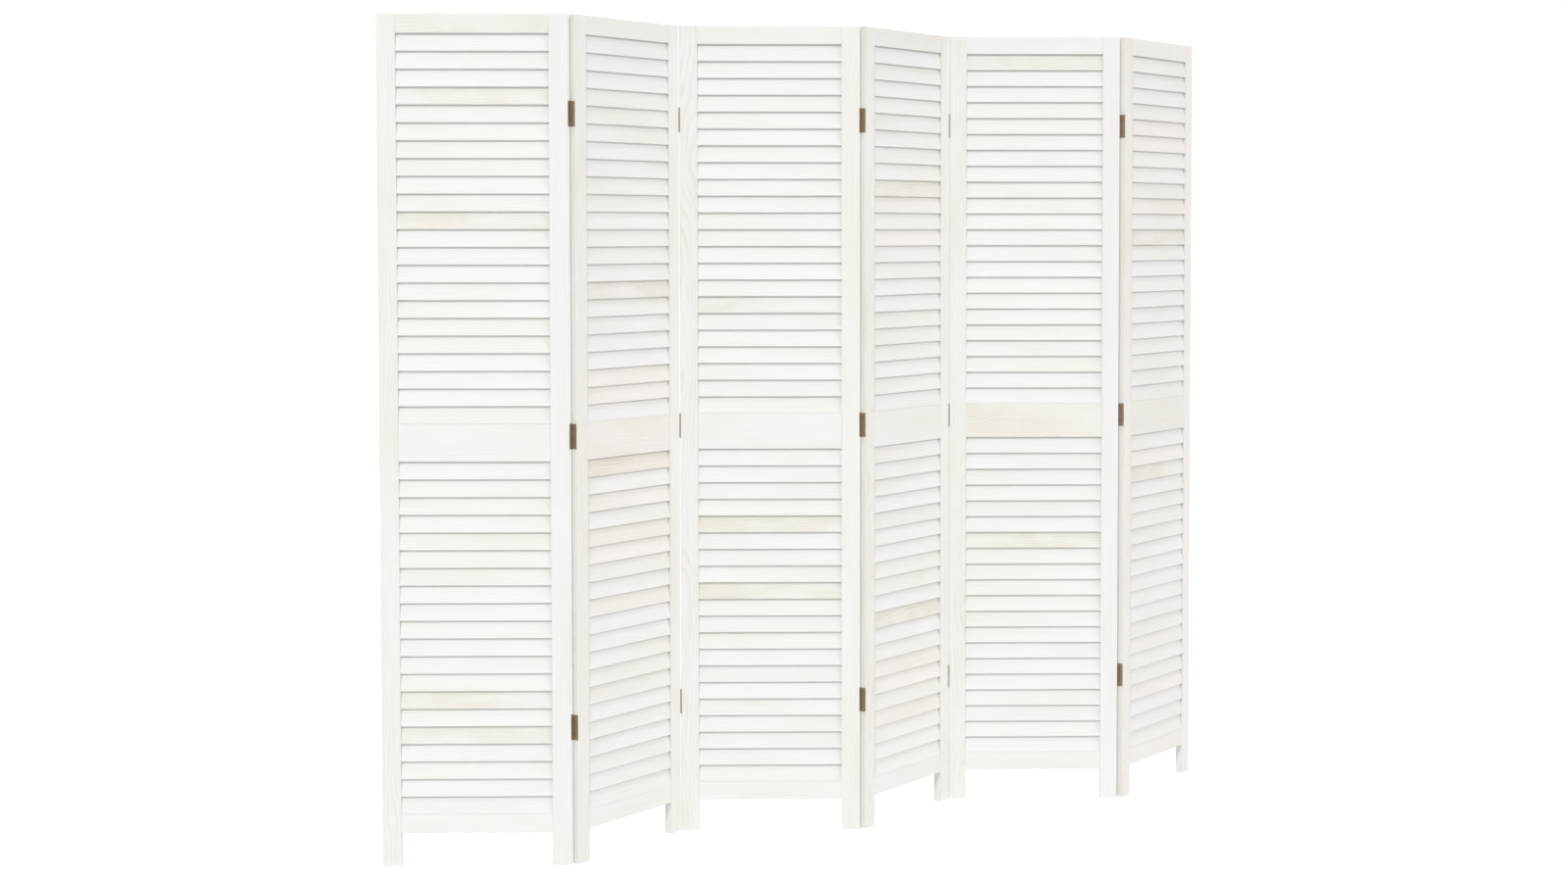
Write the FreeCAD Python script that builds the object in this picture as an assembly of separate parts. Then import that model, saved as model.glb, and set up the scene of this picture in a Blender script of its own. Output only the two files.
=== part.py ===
"""Folding room divider: six louvred wooden panels joined edge to edge by butt hinges.

Units are millimetres and +Z is up. The screen stands half folded, in a zigzag that runs along X,
with its front towards -Y. Each panel is built in its own frame (x along the width, y from the
front face to the back face) and is then put in its place.
"""

import math
import os

import FreeCAD
import Part

V = FreeCAD.Vector

# Whole screen
PANELS = 6
HEIGHT = 1800.0
WIDTH = 400.0
THICK = 16.0
TURN = 29.65  # each panel's angle from the screen's run, left and right in turn

# Frame of a panel
STILE = 40.0
LEG = 70.0
BOTTOM_RAIL = 40.0
MIDDLE_RAIL = 80.0
TOP_RAIL = 40.0
LOWER_OPENING = 750.0
STILE_ROUND = 1.0
RAIL_INSET = 0.2
RAIL_ROUND = 0.8
TENON_LENGTH = 16.0
TENON_THICK = 7.0
TENON_SHOULDER = 11.5
GROOVE_FRONT = 3.9
GROOVE_BACK = 12.6
GROOVE_DEPTH = 11.0

# Louvre slats
LOWER_SLATS = 20
UPPER_SLATS = 22
SLAT_BLADE = 48.0
SLAT_THICK = 3.5
SLAT_TILT = 10.0
SLAT_ROUND = 1.3
SLAT_INSET = 0.3
SLAT_HOUSING = 4.5
SLAT_TRIM = 4.0

# Hinges
HINGE_HEIGHTS = (292.0, 912.0, 1592.0)
HINGE_HEIGHT = 54.0
EDGE_GAP = 1.0
AXIS_OUT = 0.5
LEAF_THICK = 1.0
LEAF_START = 0.3
LEAF_END = 15.5
KNUCKLES = 5
KNUCKLE_RADIUS = 1.4
KNUCKLE_GAP = 0.4
PIN_RADIUS = 0.7
PIN_CLEARANCE = 0.05
PIN_HEAD = 0.9
RELIEF_RADIUS = 1.8
SCREW_PITCH = 32.0
SCREW_AT = 8.0
SCREW_HEAD_RADIUS = 2.6
SCREW_RADIUS = 1.25
SCREW_HEAD_DEPTH = 1.35
SCREW_LENGTH = 16.0

OUT_DIR = "parts"

# Heights that follow from the frame
BOTTOM_RAIL_TOP = LEG + BOTTOM_RAIL
MIDDLE_RAIL_FOOT = BOTTOM_RAIL_TOP + LOWER_OPENING
MIDDLE_RAIL_TOP = MIDDLE_RAIL_FOOT + MIDDLE_RAIL
TOP_RAIL_FOOT = HEIGHT - TOP_RAIL
RAILS = {
    "bottom_rail": (LEG, BOTTOM_RAIL_TOP),
    "middle_rail": (MIDDLE_RAIL_FOOT, MIDDLE_RAIL_TOP),
    "top_rail": (TOP_RAIL_FOOT, HEIGHT),
}
FIELDS = (
    (BOTTOM_RAIL_TOP, MIDDLE_RAIL_FOOT, LOWER_SLATS),
    (MIDDLE_RAIL_TOP, TOP_RAIL_FOOT, UPPER_SLATS),
)


def block(x0, x1, y0, y1, z0, z1):
    """A box between two corners, given in any order."""
    low = V(min(x0, x1), min(y0, y1), min(z0, z1))
    return Part.makeBox(abs(x1 - x0), abs(y1 - y0), abs(z1 - z0), low)


def edges_along(shape, direction):
    """The edges that run along one direction."""
    return [e for e in shape.Edges if abs(e.tangentAt(e.FirstParameter).dot(direction)) > 0.999]


# ---------------------------------------------------------------- wooden pieces

def slat(front_edge, is_lowest):
    """One louvre slat, its lower edge forward and its upper edge back.

    front_edge is the height of its lower front edge. The lowest slat of an opening is a little
    longer below, and is trimmed flat where it meets the rail.
    """
    x0 = STILE - SLAT_HOUSING
    length = WIDTH - 2 * x0
    down = SLAT_TRIM if is_lowest else 0.0
    blade = Part.makeBox(length, SLAT_THICK, SLAT_BLADE + down, V(x0, 0, -down))
    blade = blade.makeFillet(SLAT_ROUND, edges_along(blade, V(1, 0, 0)))
    blade.rotate(V(0, 0, 0), V(1, 0, 0), -SLAT_TILT)
    blade.translate(V(0, SLAT_INSET, front_edge))
    if is_lowest:
        blade = blade.common(block(0, WIDTH, 0, THICK, front_edge, HEIGHT))
    return blade.Solids[0]


def slats():
    """The slats of both openings of one panel, from the bottom up."""
    made = []
    for foot, head, count in FIELDS:
        pitch = (head - foot) / count
        made += [slat(foot + i * pitch, i == 0) for i in range(count)]
    return made


def tenon(x0, x1, foot, top):
    middle = THICK / 2
    half = TENON_THICK / 2
    return block(x0, x1, middle - half, middle + half, foot + TENON_SHOULDER, top - TENON_SHOULDER)


def rail(foot, top):
    """A rail between the stiles, with a tenon at each end.

    A groove in its underside takes the upper edge of the slat below. The bottom rail has none.
    """
    body = block(STILE, WIDTH - STILE, RAIL_INSET, THICK - RAIL_INSET, foot, top)
    body = body.makeFillet(RAIL_ROUND, edges_along(body, V(1, 0, 0)))
    body = body.fuse(tenon(STILE - TENON_LENGTH, WIDTH - STILE + TENON_LENGTH, foot, top))
    if foot > LEG:
        groove_top = foot + GROOVE_DEPTH
        body = body.cut(block(STILE, WIDTH - STILE, GROOVE_FRONT, GROOVE_BACK, foot, groove_top))
    return body.removeSplitter().Solids[0]


def left_stile(blades):
    """A stile with its mortises and its slat housings, before any hinge is let in."""
    body = block(0, STILE, 0, THICK, 0, HEIGHT)
    outer = [edge for edge in edges_along(body, V(0, 0, 1)) if edge.BoundBox.XMax < STILE / 2]
    body = body.makeFillet(STILE_ROUND, outer)
    cuts = [tenon(STILE - TENON_LENGTH, WIDTH / 2, foot, top) for foot, top in RAILS.values()]
    return body.cut(Part.makeCompound(cuts + blades))


# ---------------------------------------------------------------- hinges
# A hinge is built about its own axis: leaf_side is +1 or -1, the way its stile lies along x, and
# depth_side is +1 or -1, the way the stile lies along y.

def knuckle_spans():
    """The height of each knuckle of one hinge, from its foot."""
    tall = (HINGE_HEIGHT - (KNUCKLES - 1) * KNUCKLE_GAP) / KNUCKLES
    return [(i * (tall + KNUCKLE_GAP), i * (tall + KNUCKLE_GAP) + tall) for i in range(KNUCKLES)]


def leaf_block(leaf_side, depth_side):
    near = EDGE_GAP / 2
    return block(
        leaf_side * near,
        leaf_side * (near + LEAF_THICK),
        depth_side * LEAF_START,
        depth_side * LEAF_END,
        0,
        HINGE_HEIGHT,
    )


def screw_heights():
    middle = HINGE_HEIGHT / 2
    return (middle - SCREW_PITCH / 2, middle + SCREW_PITCH / 2)


def screw_blank(leaf_side, depth_side, height):
    """A countersunk screw with no drive in its head, which also cuts its own hole."""
    start = V(leaf_side * EDGE_GAP / 2, depth_side * SCREW_AT, height)
    inward = V(leaf_side, 0, 0)
    head = Part.makeCone(SCREW_HEAD_RADIUS, SCREW_RADIUS, SCREW_HEAD_DEPTH, start, inward)
    shank_start = start + inward * SCREW_HEAD_DEPTH
    shank_length = SCREW_LENGTH - SCREW_HEAD_DEPTH - 3.0
    shank = Part.makeCylinder(SCREW_RADIUS, shank_length, shank_start, inward)
    tip = Part.makeCone(SCREW_RADIUS, 0.3, 3.0, shank_start + inward * shank_length, inward)
    return head.fuse([shank, tip]).removeSplitter()


def screw(leaf_side, depth_side, height):
    """The finished screw, with a cross recess in its head."""
    near = leaf_side * EDGE_GAP / 2
    deep = leaf_side * (EDGE_GAP / 2 + 0.8)
    centre = depth_side * SCREW_AT
    cross = block(near, deep, centre - 1.5, centre + 1.5, height - 0.25, height + 0.25)
    cross = cross.fuse(block(near, deep, centre - 0.25, centre + 0.25, height - 1.5, height + 1.5))
    return screw_blank(leaf_side, depth_side, height).cut(cross).Solids[0]


def leaf(leaf_side, depth_side, has_pin):
    """One hinge leaf. The one that holds the pin has the outer knuckles."""
    shape = leaf_block(leaf_side, depth_side)
    knuckles = []
    clearances = []
    for i, (foot, top) in enumerate(knuckle_spans()):
        if (i % 2 == 0) == has_pin:
            knuckles.append(Part.makeCylinder(KNUCKLE_RADIUS, top - foot, V(0, 0, foot)))
        else:
            low = foot - KNUCKLE_GAP
            tall = top - foot + 2 * KNUCKLE_GAP
            clearances.append(Part.makeCylinder(RELIEF_RADIUS, tall, V(0, 0, low)))
    shape = shape.cut(Part.makeCompound(clearances)).fuse(knuckles)
    bore = PIN_RADIUS if has_pin else PIN_RADIUS + PIN_CLEARANCE
    cuts = [Part.makeCylinder(bore, HINGE_HEIGHT + 2, V(0, 0, -1))]
    cuts += [screw_blank(leaf_side, depth_side, height) for height in screw_heights()]
    return shape.cut(Part.makeCompound(cuts)).removeSplitter().Solids[0]


def pin():
    """A hinge pin with a low round head on the top knuckle."""
    head = Part.makeCylinder(KNUCKLE_RADIUS, PIN_HEAD, V(0, 0, HINGE_HEIGHT))
    rim = [edge for edge in head.Edges if edge.BoundBox.ZMin > HINGE_HEIGHT + PIN_HEAD / 2]
    head = head.makeFillet(0.5, rim)
    return Part.makeCylinder(PIN_RADIUS, HINGE_HEIGHT).fuse(head).removeSplitter().Solids[0]


def hinge_bed(leaf_side, depth_side):
    """What is cut from a stile for one hinge: leaf bed, knuckle relief and screw holes."""
    relief = Part.makeCylinder(RELIEF_RADIUS, HINGE_HEIGHT + 3.0, V(0, 0, -1.0))
    screws = [screw_blank(leaf_side, depth_side, height) for height in screw_heights()]
    return [leaf_block(leaf_side, depth_side), relief] + screws


# ---------------------------------------------------------------- assembly

def axis_y(joint):
    """How deep a joint's axis lies: behind the panels and in front of them in turn."""
    return THICK + AXIS_OUT if joint % 2 == 1 else -AXIS_OUT


def placements():
    """Each panel's placement, chained through the joints from the left."""
    places = []
    for number in range(1, PANELS + 1):
        turn = FreeCAD.Rotation(V(0, 0, 1), -TURN if number % 2 == 1 else TURN)
        if number == 1:
            base = V(0, 0, 0)
        else:
            joint = number - 1
            axis = places[-1].multVec(V(WIDTH + EDGE_GAP / 2, axis_y(joint), 0))
            base = axis - turn.multVec(V(-EDGE_GAP / 2, axis_y(joint), 0))
        places.append(FreeCAD.Placement(base, turn))
    return places


def centred(places):
    """The same placements, moved so that the origin is under the middle of the screen."""
    outline = [
        place.multVec(V(x, y, 0)) for place in places for x in (0, WIDTH) for y in (0, THICK)
    ]
    middle_x = (min(p.x for p in outline) + max(p.x for p in outline)) / 2
    middle_y = (min(p.y for p in outline) + max(p.y for p in outline)) / 2
    return [FreeCAD.Placement(p.Base - V(middle_x, middle_y, 0), p.Rotation) for p in places]


def at_hinges(make, x, y):
    """Copies of one hinge piece, or list of pieces, at the three heights of a joint."""
    copies = []
    for height in HINGE_HEIGHTS:
        made = make()
        for piece in made if isinstance(made, list) else [made]:
            piece.translate(V(x, y, height - HINGE_HEIGHT / 2))
            copies.append(piece)
    return copies


def put(name, shapes, place):
    """Writes one node: a solid, or a group of separate solids, in its place."""
    shape = Part.makeCompound(shapes) if len(shapes) > 1 else shapes[0].copy()
    shape.Placement = place.multiply(shape.Placement)
    shape.exportStep(os.path.join(OUT_DIR, name + ".step"))


def build():
    os.makedirs(OUT_DIR, exist_ok=True)
    places = centred(placements())
    blades = slats()
    plain_left = left_stile(blades)
    plain_right = plain_left.mirror(V(WIDTH / 2, 0, 0), V(1, 0, 0))
    rails = {name: rail(foot, top) for name, (foot, top) in RAILS.items()}

    for number in range(1, PANELS + 1):
        place = places[number - 1]
        panel = "panel_%d_" % number
        stiles = {"left": plain_left, "right": plain_right}
        screws = []
        # side, the joint there, the axis's x, the stile's side of the axis, whether it has the pin
        edges = (
            ("left", number - 1, -EDGE_GAP / 2, 1, False),
            ("right", number, WIDTH + EDGE_GAP / 2, -1, True),
        )
        for side, joint, x, leaf_side, has_pin in edges:
            if joint < 1 or joint >= PANELS:
                continue
            y = axis_y(joint)
            depth_side = -1 if joint % 2 == 1 else 1
            beds = at_hinges(lambda: hinge_bed(leaf_side, depth_side), x, y)
            stiles[side] = stiles[side].cut(beds)
            heights = screw_heights()
            screws += at_hinges(lambda: [screw(leaf_side, depth_side, h) for h in heights], x, y)
            leaves = at_hinges(lambda: leaf(leaf_side, depth_side, has_pin), x, y)
            put("hinge_%d_%s_leaves" % (joint, "left" if has_pin else "right"), leaves, place)
            if has_pin:
                put("hinge_%d_pins" % joint, at_hinges(pin, x, y), place)
        put(panel + "left_stile", [stiles["left"]], place)
        put(panel + "right_stile", [stiles["right"]], place)
        put(panel + "hinge_screws", screws, place)
        put(panel + "slats", blades, place)
        for name, shape in rails.items():
            put(panel + name, [shape], place)

    for joint in range(1, PANELS):
        axis = places[joint - 1].multVec(V(WIDTH + EDGE_GAP / 2, axis_y(joint), 0))
        print("joint %d axis at x %.4f y %.4f mm" % (joint, axis.x, axis.y))


build()
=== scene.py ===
"""Looks of the folding screen: white-washed wood, aged bronze hinges, soft studio light.

Everything is in metres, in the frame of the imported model. The CAD nodes keep their shape and
place and get their materials here.
"""

import math

import bpy
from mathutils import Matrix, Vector


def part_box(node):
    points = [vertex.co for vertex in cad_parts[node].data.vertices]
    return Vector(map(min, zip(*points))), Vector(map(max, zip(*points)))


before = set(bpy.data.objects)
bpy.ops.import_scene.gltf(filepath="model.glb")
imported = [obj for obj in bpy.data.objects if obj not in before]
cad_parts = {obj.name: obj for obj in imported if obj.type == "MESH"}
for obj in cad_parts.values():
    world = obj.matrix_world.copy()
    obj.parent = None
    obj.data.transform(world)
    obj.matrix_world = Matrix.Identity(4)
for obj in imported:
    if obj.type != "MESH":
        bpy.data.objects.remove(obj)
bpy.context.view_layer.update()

# ---------------------------------------------------------------- sizes
PANELS = 6
STILE = 0.040
THICK = 0.016
LOWER_FOOT = 0.110
LOWER_PITCH = 0.0375
LOWER_SLATS = 20
UPPER_FOOT = 0.940
UPPER_PITCH = 0.820 / 22
SLAT_TILT = math.radians(10)
SLAT_INSET = 0.0003
SLAT_REACH = 0.0285  # keeps a slat's back face in the same step as its front face
BETWEEN_FIELDS = 0.900

# Boards whose wash is thinner, so that the cream wood shows: slats counted from the bottom up
CREAM_SLATS = {
    1: (4, 6, 31, 38),
    2: (19, 27),
    3: (11, 15, 26),
    4: (9, 33),
    5: (13, 41),
    6: (17, 30),
}
SLAT_CREAM = 0.62
STRAY_CREAM = 0.22  # the most that any other slat has, as a share of SLAT_CREAM
CREAM_RAILS = {
    "panel_1_top_rail": 0.50,
    "panel_2_middle_rail": 0.25,
    "panel_5_middle_rail": 0.45,
    "panel_4_top_rail": 0.35,
    "panel_6_middle_rail": 0.35,
}
LEFT_STILE_CREAM = 0.25
PLAIN_CREAM = 0.05

# Seeds: a number for each board, which gives it its own grain
SLAT_SEEDS_PER_PANEL = 60.0
FRAME_SEED = 900.0
FRAME_SEEDS_PER_PANEL = 10.0

RINGS_PER_METRE = 190.0
WOOD_EDGE = 0.0011  # how far the eased edges of the boards reach
METAL_EDGE = 0.0005
LEAF_MOTTLE = 220.0  # mottling per metre
SCREW_MOTTLE = 400.0
MOTTLE_SHADE = 0.72
FLOOR_HALF = 60.0

# ---------------------------------------------------------------- colours
WASH = (0.703, 0.708, 0.715)
WASH_YELLOW = (0.704, 0.711, 0.702)
WASH_WARM = (0.712, 0.704, 0.694)
WOOD_PALE = (0.63, 0.60, 0.46)
WOOD_DEEP = (0.54, 0.51, 0.37)
WOOD_LATE = (0.38, 0.31, 0.19)
WOOD_PORE = (0.35, 0.28, 0.18)
LEAF_BRONZE = (0.41, 0.335, 0.25)
LEAF_WORN = (0.55, 0.45, 0.32)
SCREW_BRONZE = (0.35, 0.29, 0.21)
SCREW_WORN = (0.60, 0.50, 0.36)
FLOOR_DARK = (0.13, 0.13, 0.13)
FLOOR_LIGHT = (0.15, 0.15, 0.15)
WHITE = (1.0, 1.0, 1.0)


# ---------------------------------------------------------------- node helpers
class Tree:
    """A node tree with short ways to add nodes and join them up."""

    def __init__(self, tree):
        self.tree = tree

    def add(self, kind, values=None, **settings):
        """Adds a node. A value is a constant or another node's output socket."""
        node = self.tree.nodes.new(kind)
        for name, setting in settings.items():
            setattr(node, name, setting)
        for key, value in (values or {}).items():
            if isinstance(value, bpy.types.NodeSocket):
                self.tree.links.new(value, node.inputs[key])
            else:
                node.inputs[key].default_value = value
        return node

    def math(self, operation, *values, clamp=False):
        inputs = dict(enumerate(values))
        return self.add("ShaderNodeMath", inputs, operation=operation, use_clamp=clamp).outputs[0]

    def blend(self, factor, first, second):
        """Mixes two colours, each an output socket or red, green and blue."""
        first, second = (
            color if isinstance(color, bpy.types.NodeSocket) else (*color, 1.0)
            for color in (first, second)
        )
        inputs = {0: factor, 6: first, 7: second}
        return self.add("ShaderNodeMix", inputs, data_type="RGBA").outputs[2]

    def spread(self, value, low, high, to_low=0.0, to_high=1.0):
        """Maps a range onto another one, clamped."""
        inputs = {"Value": value, 1: low, 2: high, 3: to_low, 4: to_high}
        return self.add("ShaderNodeMapRange", inputs, clamp=True).outputs[0]

    def noise(self, vector, scale, detail=2.0, roughness=0.5, distortion=0.0):
        inputs = {
            "Vector": vector,
            "Scale": scale,
            "Detail": detail,
            "Roughness": roughness,
            "Distortion": distortion,
        }
        return self.add("ShaderNodeTexNoise", inputs)

    def vector(self, x, y, z):
        return self.add("ShaderNodeCombineXYZ", {0: x, 1: y, 2: z}).outputs[0]

    def scaled(self, vector, scale):
        node = self.add("ShaderNodeVectorMath", {0: vector, 1: scale}, operation="MULTIPLY")
        return node.outputs[0]

    def moved(self, vector, offset):
        node = self.add("ShaderNodeVectorMath", {0: vector, 1: offset}, operation="ADD")
        return node.outputs[0]


def new_material(name):
    material = bpy.data.materials.new(name)
    material.use_nodes = True
    material.node_tree.nodes.clear()
    return material, Tree(material.node_tree)


def edge_mask(tree, radius):
    """Near 1 along sharp edges, 0 on flat faces, and the rounded normal that it comes from."""
    rounded = tree.add("ShaderNodeBevel", {"Radius": radius}, samples=4).outputs[0]
    flat = tree.add("ShaderNodeNewGeometry").outputs["Normal"]
    alike = tree.add("ShaderNodeVectorMath", {0: rounded, 1: flat}, operation="DOT_PRODUCT")
    return tree.spread(alike.outputs["Value"], 0.995, 0.80), rounded


# ---------------------------------------------------------------- washed wood
def board_group():
    """Pale straight-grained wood under a thin white wash.

    Place is along, across and into the board, in metres. Seed gives each board its own piece of
    tree, Cream is how thin its wash is, and Edge is where the wash is rubbed.
    """
    group = bpy.data.node_groups.new("washed_board", "ShaderNodeTree")
    sockets = (
        ("Place", "INPUT", "NodeSocketVector"),
        ("Seed", "INPUT", "NodeSocketFloat"),
        ("Cream", "INPUT", "NodeSocketFloat"),
        ("Edge", "INPUT", "NodeSocketFloat"),
        ("Color", "OUTPUT", "NodeSocketColor"),
        ("Roughness", "OUTPUT", "NodeSocketFloat"),
        ("Height", "OUTPUT", "NodeSocketFloat"),
    )
    for name, direction, kind in sockets:
        group.interface.new_socket(name, in_out=direction, socket_type=kind)
    tree = Tree(group)
    given = tree.add("NodeGroupInput").outputs
    place, seed, cream, edge = (given[k] for k in ("Place", "Seed", "Cream", "Edge"))

    luck = tree.add("ShaderNodeTexWhiteNoise", {"W": seed}, noise_dimensions="1D")
    shift = tree.scaled(luck.outputs["Color"], (7.0, 3.0, 2.0))
    own = tree.moved(place, shift)

    # growth rings: a wavering cylinder whose middle lies near the board
    waver = tree.noise(tree.scaled(own, (3.0, 9.0, 9.0)), 1.0, 2.0, 0.5).outputs["Color"]
    waver = tree.scaled(tree.moved(waver, (-0.5, -0.5, -0.5)), (0.0, 0.080, 0.060))
    heart = tree.scaled(tree.moved(luck.outputs["Color"], (0.0, -0.5, 0.35)), (0.0, 0.10, 0.045))
    rings = tree.moved(tree.moved(tree.scaled(place, (0.0, 1.0, 1.0)), waver), heart)
    reach = tree.add("ShaderNodeVectorMath", {0: rings}, operation="LENGTH").outputs["Value"]
    phase = tree.math("FRACT", tree.math("MULTIPLY", reach, RINGS_PER_METRE))
    late = tree.math("POWER", phase, 3.0)

    # fibres and pores, long along the board and fine across it
    fibre = tree.noise(tree.scaled(own, (14.0, 900.0, 900.0)), 1.0, 3.0, 0.6).outputs["Fac"]
    streak = tree.noise(tree.scaled(own, (4.0, 150.0, 120.0)), 1.0, 3.0, 0.55).outputs["Fac"]
    pore = tree.spread(fibre, 0.60, 0.72)

    # how thick the wash lies: broad patches, brush strokes and a share for the board
    patch = tree.noise(tree.scaled(own, (3.0, 14.0, 14.0)), 1.0, 2.0, 0.5).outputs["Fac"]
    brush = tree.noise(tree.scaled(own, (9.0, 420.0, 300.0)), 1.0, 2.0, 0.5).outputs["Fac"]
    thin = tree.math("MULTIPLY_ADD", tree.spread(patch, 0.35, 0.70), 0.14, 0.07)
    thin = tree.math("MULTIPLY_ADD", tree.spread(brush, 0.45, 0.70), 0.08, thin)
    bare = tree.noise(tree.scaled(own, (9.0, 22.0, 22.0)), 1.0, 3.0, 0.55, 0.6).outputs["Fac"]
    bare = tree.math("MULTIPLY", tree.spread(bare, 0.38, 0.62, 0.45, 1.3), cream)
    thin = tree.math("MULTIPLY_ADD", bare, 0.38, thin)
    thin = tree.math("MULTIPLY_ADD", tree.math("MULTIPLY", edge, streak), 0.55, thin, clamp=True)

    wood = tree.blend(tree.spread(streak, 0.30, 0.72), WOOD_PALE, WOOD_DEEP)
    wood = tree.blend(tree.math("MULTIPLY", late, 0.90), wood, WOOD_LATE)
    wood = tree.blend(tree.math("MULTIPLY", pore, 0.5), wood, WOOD_PORE)
    # each board's white: neutral or a little yellow, and now and then a little warm
    hue = tree.add("ShaderNodeSeparateXYZ", {0: luck.outputs["Color"]}).outputs
    yellow = tree.math("MULTIPLY_ADD", patch, 1.2, hue[0])
    wash = tree.blend(tree.spread(yellow, 0.85, 1.35), WASH, WASH_YELLOW)
    wash = tree.blend(tree.spread(hue[1], 0.82, 0.88), wash, WASH_WARM)
    color = tree.blend(thin, wash, wood)
    rough = tree.math("MULTIPLY_ADD", thin, -0.12, 0.56)
    rough = tree.math("MULTIPLY_ADD", tree.math("SUBTRACT", brush, 0.5), 0.10, rough)
    height = tree.math("MULTIPLY_ADD", late, -0.35, 1.0)
    height = tree.math("MULTIPLY_ADD", pore, -0.5, height)
    height = tree.math("MULTIPLY_ADD", brush, 0.35, height)
    tree.add("NodeGroupOutput", {"Color": color, "Roughness": rough, "Height": height})
    return group


BOARD = board_group()


def panel_place(number):
    """Where a panel's own frame lies: its left front foot and its angle about +Z."""
    left, right = (
        sum(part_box("panel_%d_%s_stile" % (number, side)), Vector()) / 2
        for side in ("left", "right")
    )
    along = (right - left).normalized()
    angle = math.atan2(along.y, along.x)
    inward = Vector((-math.sin(angle), math.cos(angle), 0))
    base = left - along * (STILE / 2) - inward * (THICK / 2)
    return (base.x, base.y, 0.0), angle


def in_panel(tree, number):
    """Texture coordinates in a panel's own frame: across the panel, into it and up."""
    base, angle = panel_place(number)
    where = tree.add("ShaderNodeTexCoord").outputs["Object"]
    inputs = {"Vector": where, "Location": base, "Rotation": (0, 0, angle)}
    local = tree.add("ShaderNodeMapping", inputs, vector_type="TEXTURE").outputs[0]
    return tree.add("ShaderNodeSeparateXYZ", {0: local}).outputs


def finish_wood(tree, place, seed, cream):
    """Puts the board group on a surface, with eased edges and fine relief."""
    edge, rounded = edge_mask(tree, WOOD_EDGE)
    inputs = {"Place": place, "Seed": seed, "Cream": cream, "Edge": edge}
    board = tree.add("ShaderNodeGroup", inputs, node_tree=BOARD)
    relief = {"Height": board.outputs["Height"], "Normal": rounded, "Strength": 0.35}
    bump = tree.add("ShaderNodeBump", {**relief, "Distance": 0.00025}).outputs[0]
    shader = tree.add(
        "ShaderNodeBsdfPrincipled",
        {
            "Base Color": board.outputs["Color"],
            "Roughness": board.outputs["Roughness"],
            "Normal": bump,
            "Specular IOR Level": 0.35,
        },
    )
    tree.add("ShaderNodeOutputMaterial", {"Surface": shader.outputs[0]})


def frame_board(name, number, upright, seed, cream):
    """Material of one stile or rail: the grain runs up a stile and along a rail."""
    material, tree = new_material(name)
    x, y, z = in_panel(tree, number)
    place = tree.vector(z, x, y) if upright else tree.vector(x, z, y)
    finish_wood(tree, place, seed, cream)
    return material


def slat_boards(number):
    """Material of one panel's slats. Each slat is its own board, told apart by its height."""
    material, tree = new_material("panel_%d_slats" % number)
    x, y, z = in_panel(tree, number)
    depth = tree.math("SUBTRACT", y, SLAT_INSET)
    level = tree.math("MULTIPLY_ADD", depth, -1 / math.tan(SLAT_TILT), z)
    level = tree.math("ADD", level, SLAT_REACH)
    lower = tree.math("DIVIDE", tree.math("SUBTRACT", level, LOWER_FOOT), LOWER_PITCH)
    upper = tree.math("DIVIDE", tree.math("SUBTRACT", level, UPPER_FOOT), UPPER_PITCH)
    upper = tree.math("ADD", upper, LOWER_SLATS)
    is_upper = tree.math("GREATER_THAN", z, BETWEEN_FIELDS)
    picked = tree.add("ShaderNodeMix", {0: is_upper, 2: lower, 3: upper}, data_type="FLOAT")
    index = tree.math("FLOOR", picked.outputs[0])
    cream = tree.add("ShaderNodeTexWhiteNoise", {"W": index}, noise_dimensions="1D")
    cream = tree.spread(cream.outputs["Value"], 0.55, 1.0, 0.0, STRAY_CREAM)
    for slat in CREAM_SLATS[number]:
        cream = tree.math("MAXIMUM", cream, tree.math("COMPARE", index, float(slat), 0.4))
    cream = tree.math("MULTIPLY", cream, SLAT_CREAM)
    seed = tree.math("ADD", index, SLAT_SEEDS_PER_PANEL * number)
    finish_wood(tree, tree.vector(x, z, y), seed, cream)
    return material


# ---------------------------------------------------------------- metal and floor
def aged_bronze(name, dark, worn, scale):
    """Brown aged metal, mottled, with brighter rubbed edges and fine scratches."""
    material, tree = new_material(name)
    where = tree.add("ShaderNodeTexCoord").outputs["Object"]
    edge, rounded = edge_mask(tree, METAL_EDGE)
    mottle = tree.noise(where, scale, 4.0, 0.6).outputs["Fac"]
    scratch = tree.noise(tree.scaled(where, (900.0, 900.0, 60.0)), 1.0, 2.0, 0.6).outputs["Fac"]
    worn_share = tree.math("MULTIPLY", edge, tree.spread(mottle, 0.35, 0.65))
    scratched = tree.spread(scratch, 0.62, 0.75)
    worn_share = tree.math("MULTIPLY_ADD", scratched, 0.25, worn_share, clamp=True)
    shaded = [channel * MOTTLE_SHADE for channel in dark]
    mottled = tree.blend(tree.spread(mottle, 0.3, 0.7), dark, shaded)
    color = tree.blend(worn_share, mottled, worn)
    height = tree.math("MULTIPLY_ADD", scratch, 0.4, mottle)
    bump = tree.add(
        "ShaderNodeBump",
        {"Height": height, "Normal": rounded, "Strength": 0.25, "Distance": 0.0002},
    )
    shader = tree.add(
        "ShaderNodeBsdfPrincipled",
        {
            "Base Color": color,
            "Metallic": 0.75,
            "Roughness": tree.spread(mottle, 0.3, 0.7, 0.34, 0.52),
            "Normal": bump.outputs[0],
        },
    )
    tree.add("ShaderNodeOutputMaterial", {"Surface": shader.outputs[0]})
    return material


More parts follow.
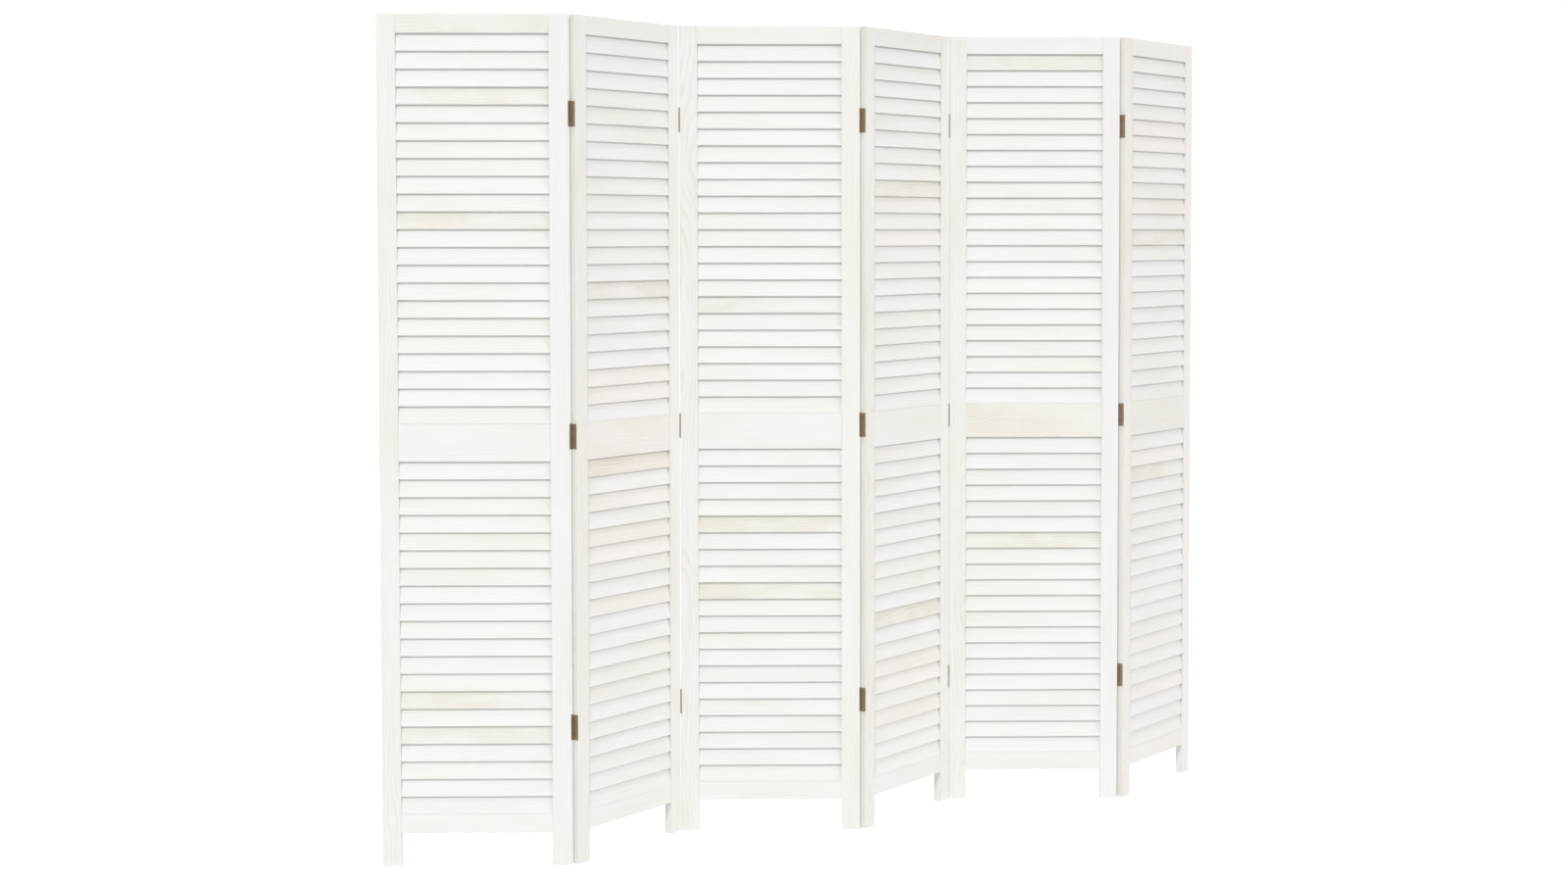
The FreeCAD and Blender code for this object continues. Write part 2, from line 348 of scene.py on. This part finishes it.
def pale_floor():
    """A white studio table, lit from below so that shadows on it stay pale."""
    material, tree = new_material("studio_floor")
    where = tree.add("ShaderNodeTexCoord").outputs["Object"]
    cloud = tree.noise(where, 1.3, 3.0, 0.5).outputs["Fac"]
    color = tree.blend(cloud, FLOOR_DARK, FLOOR_LIGHT)
    grit = tree.noise(where, 260.0, 2.0, 0.5).outputs["Fac"]
    bump = tree.add("ShaderNodeBump", {"Height": grit, "Strength": 0.05, "Distance": 0.0005})
    rough = tree.spread(cloud, 0.3, 0.7, 0.75, 0.85)
    shader = tree.add(
        "ShaderNodeBsdfPrincipled",
        {
            "Base Color": color,
            "Roughness": rough,
            "Normal": bump.outputs[0],
            "Specular IOR Level": 0.1,
            "Emission Color": (*WHITE, 1.0),
            "Emission Strength": 0.95,
        },
    )
    tree.add("ShaderNodeOutputMaterial", {"Surface": shader.outputs[0]})
    return material


# ---------------------------------------------------------------- dressing the CAD nodes
def dress(node, material):
    """Gives a CAD node its material."""
    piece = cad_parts[node]
    piece.data.materials.clear()
    piece.data.materials.append(material)


def dress_panels():
    for number in range(1, PANELS + 1):
        prefix = "panel_%d_" % number
        boards = ("left_stile", "right_stile", "top_rail", "middle_rail", "bottom_rail")
        for i, part in enumerate(boards):
            upright = part.endswith("stile")
            usual = LEFT_STILE_CREAM if part == "left_stile" else PLAIN_CREAM
            cream = CREAM_RAILS.get(prefix + part, usual)
            seed = FRAME_SEED + FRAME_SEEDS_PER_PANEL * number + i
            dress(prefix + part, frame_board(prefix + part, number, upright, seed, cream))
        dress(prefix + "slats", slat_boards(number))


def dress_hinges():
    leaf_metal = aged_bronze("hinge_bronze", LEAF_BRONZE, LEAF_WORN, LEAF_MOTTLE)
    screw_metal = aged_bronze("screw_bronze", SCREW_BRONZE, SCREW_WORN, SCREW_MOTTLE)
    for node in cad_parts:
        if "leaves" in node or "pins" in node:
            dress(node, leaf_metal)
        elif "screws" in node:
            dress(node, screw_metal)


# ---------------------------------------------------------------- studio
def floor():
    mesh = bpy.data.meshes.new("floor")
    corners = [(x * FLOOR_HALF, y * FLOOR_HALF, 0) for x, y in ((-1, -1), (1, -1), (1, 1), (-1, 1))]
    mesh.from_pydata(corners, [], [(0, 1, 2, 3)])
    mesh.materials.append(pale_floor())
    piece = bpy.data.objects.new("floor", mesh)
    bpy.context.collection.objects.link(piece)


def lamp(name, azimuth, elevation, strength, spread, color):
    """A large soft light far away, with its angles and its spread in degrees.

    Azimuth 0 is in front of the screen and 90 is off its right end.
    """
    data = bpy.data.lights.new(name, "SUN")
    data.energy = strength
    data.angle = math.radians(spread)
    data.color = color
    light = bpy.data.objects.new(name, data)
    light.rotation_euler = (math.radians(90 - elevation), 0, math.radians(azimuth))
    bpy.context.collection.objects.link(light)


def studio():
    """White surroundings, dim above and off the right front, with lamps in front and above."""
    world = bpy.data.worlds.new("studio")
    world.use_nodes = True
    tree = Tree(world.node_tree)
    direction = tree.add("ShaderNodeTexCoord").outputs["Generated"]
    right, back, up = tree.add("ShaderNodeSeparateXYZ", {0: direction}).outputs
    # bright to about 17 degrees above the horizon, and dim from about 37 degrees
    strength = tree.spread(up, 0.30, 0.60, 1.08, 0.34)
    away = tree.math("MULTIPLY_ADD", right, -0.6, tree.math("MULTIPLY", back, 0.8))
    strength = tree.math("MULTIPLY", strength, tree.spread(away, -0.60, 0.10, 0.40, 1.0))
    background = world.node_tree.nodes["Background"]
    background.inputs["Color"].default_value = (*WHITE, 1.0)
    world.node_tree.links.new(strength, background.inputs["Strength"])
    bpy.context.scene.world = world
    cool = (0.98, 0.99, 1.0)
    rosy = (1.0, 0.93, 0.935)
    lamp("left_lamp", azimuth=-46, elevation=36, strength=1.50, spread=12, color=cool)
    lamp("right_lamp", azimuth=40, elevation=28, strength=1.60, spread=30, color=rosy)
    lamp("top_lamp", azimuth=0, elevation=80, strength=0.25, spread=90, color=WHITE)
    bpy.context.scene.view_settings.view_transform = "Standard"


def camera():
    """In front and to the left, nearly square to the first panel and tilted a little down."""
    tilt = 3.0565
    turn = -31.055
    data = bpy.data.cameras.new("camera")
    data.lens = 66.86
    data.sensor_width = 36.0
    data.shift_x = -0.0487
    data.shift_y = -0.035
    data.clip_end = 200.0
    eye = bpy.data.objects.new("camera", data)
    eye.location = (-3.3591, -5.6739, 1.3469)
    eye.rotation_euler = (math.radians(90 - tilt), 0, math.radians(turn))
    bpy.context.collection.objects.link(eye)
    bpy.context.scene.camera = eye


dress_panels()
dress_hinges()
floor()
studio()
camera()
